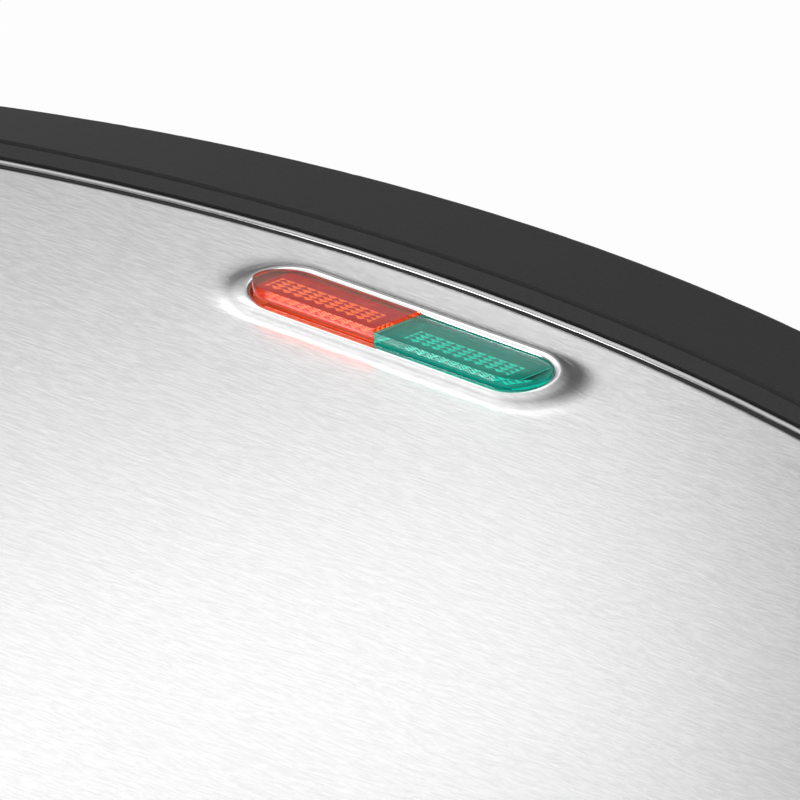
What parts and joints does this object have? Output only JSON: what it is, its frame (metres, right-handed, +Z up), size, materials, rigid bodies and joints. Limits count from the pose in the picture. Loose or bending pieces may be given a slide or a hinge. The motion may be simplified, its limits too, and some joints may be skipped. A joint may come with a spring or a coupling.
{
  "type": "sandwich maker",
  "caption": "Countertop sandwich maker with a hinged lid, triangular cooking pockets, a front latch and two signal lenses in a brushed steel lid.",
  "frame": {"origin": "on the table, under the middle of the closed machine's bounding box", "axes": "+X right, +Y towards the hinge, +Z up"},
  "size_m": [0.24, 0.2774, 0.0902],
  "materials": {
    "housing_plastic": "fine spark-eroded matte",
    "deck_plastic": "matte, heat resistant",
    "handle_plastic": "fine matte",
    "non_stick_casting": "dark non-stick coating",
    "element_tube": "heat-tinted dull",
    "pan_steel": "dull sheet",
    "zinc_screws": "zinc plated",
    "silicone": "soft satin",
    "black_rubber": "matte",
    "gland_plastic": "satin",
    "pale_ceramic": "satin",
    "lamp_plastic": "satin",
    "fuse_metal": "dull",
    "pin_steel": "smooth",
    "woven_sleeve": "braided",
    "brushed_skin": "brushed",
    "polished_trim": "polished",
    "red_lens": "clear polished",
    "green_lens": "clear polished",
    "lamp_glass": "clear"
  },
  "bodies": {
    "base": {"base_housing": "housing_plastic", "lower_surround": "deck_plastic", "lower_plate": "non_stick_casting", "lower_element": "element_tube", "lower_reflector": "pan_steel", "lower_plate_screws": "zinc_screws", "lower_terminal_boots": "silicone", "rubber_feet": "black_rubber", "base_screws": "zinc_screws", "cord_gland": "gland_plastic", "gland_nut": "gland_plastic", "terminal_block": "pale_ceramic", "lower_leads": "silicone", "thermal_fuse": "fuse_metal", "fuse_strap": "pan_steel", "hinge_pins": "pin_steel", "base_grommet": "black_rubber", "hinge_cable_sleeve": "woven_sleeve", "lower_handle": "handle_plastic", "lower_handle_screws": "zinc_screws"},
    "lid": {"lid_housing": "housing_plastic", "upper_surround": "deck_plastic", "lid_screws": "zinc_screws", "upper_plate": "non_stick_casting", "upper_element": "element_tube", "upper_reflector": "pan_steel", "upper_plate_screws": "zinc_screws", "upper_terminal_boots": "silicone", "thermostat": "pale_ceramic", "upper_leads": "silicone", "lid_grommet": "black_rubber", "lid_skin": "brushed_skin", "trim_ring": "polished_trim", "lid_bezel": "housing_plastic", "red_lens": "red_lens", "green_lens": "green_lens", "lamp_housing": "lamp_plastic", "neon_lamps": "lamp_glass", "lamp_screws": "zinc_screws", "upper_handle": "handle_plastic", "upper_handle_screws": "zinc_screws", "latch_pin": "pin_steel"},
    "latch": {"latch": "handle_plastic"}
  },
  "joints": [
    {"name": "lid_hinge", "type": "hinge", "parent": "base", "child": "lid", "pos_m": [0, 0.12172, 0.052], "axis": [-1, 0, 0], "range_deg": [0, 105], "deforming": ["hinge_cable_sleeve"]},
    {"name": "latch_pivot", "type": "hinge", "parent": "lid", "child": "latch", "pos_m": [0, -0.12178, 0.054], "axis": [1, 0, 0], "range_deg": [0, 22]}
  ]
}
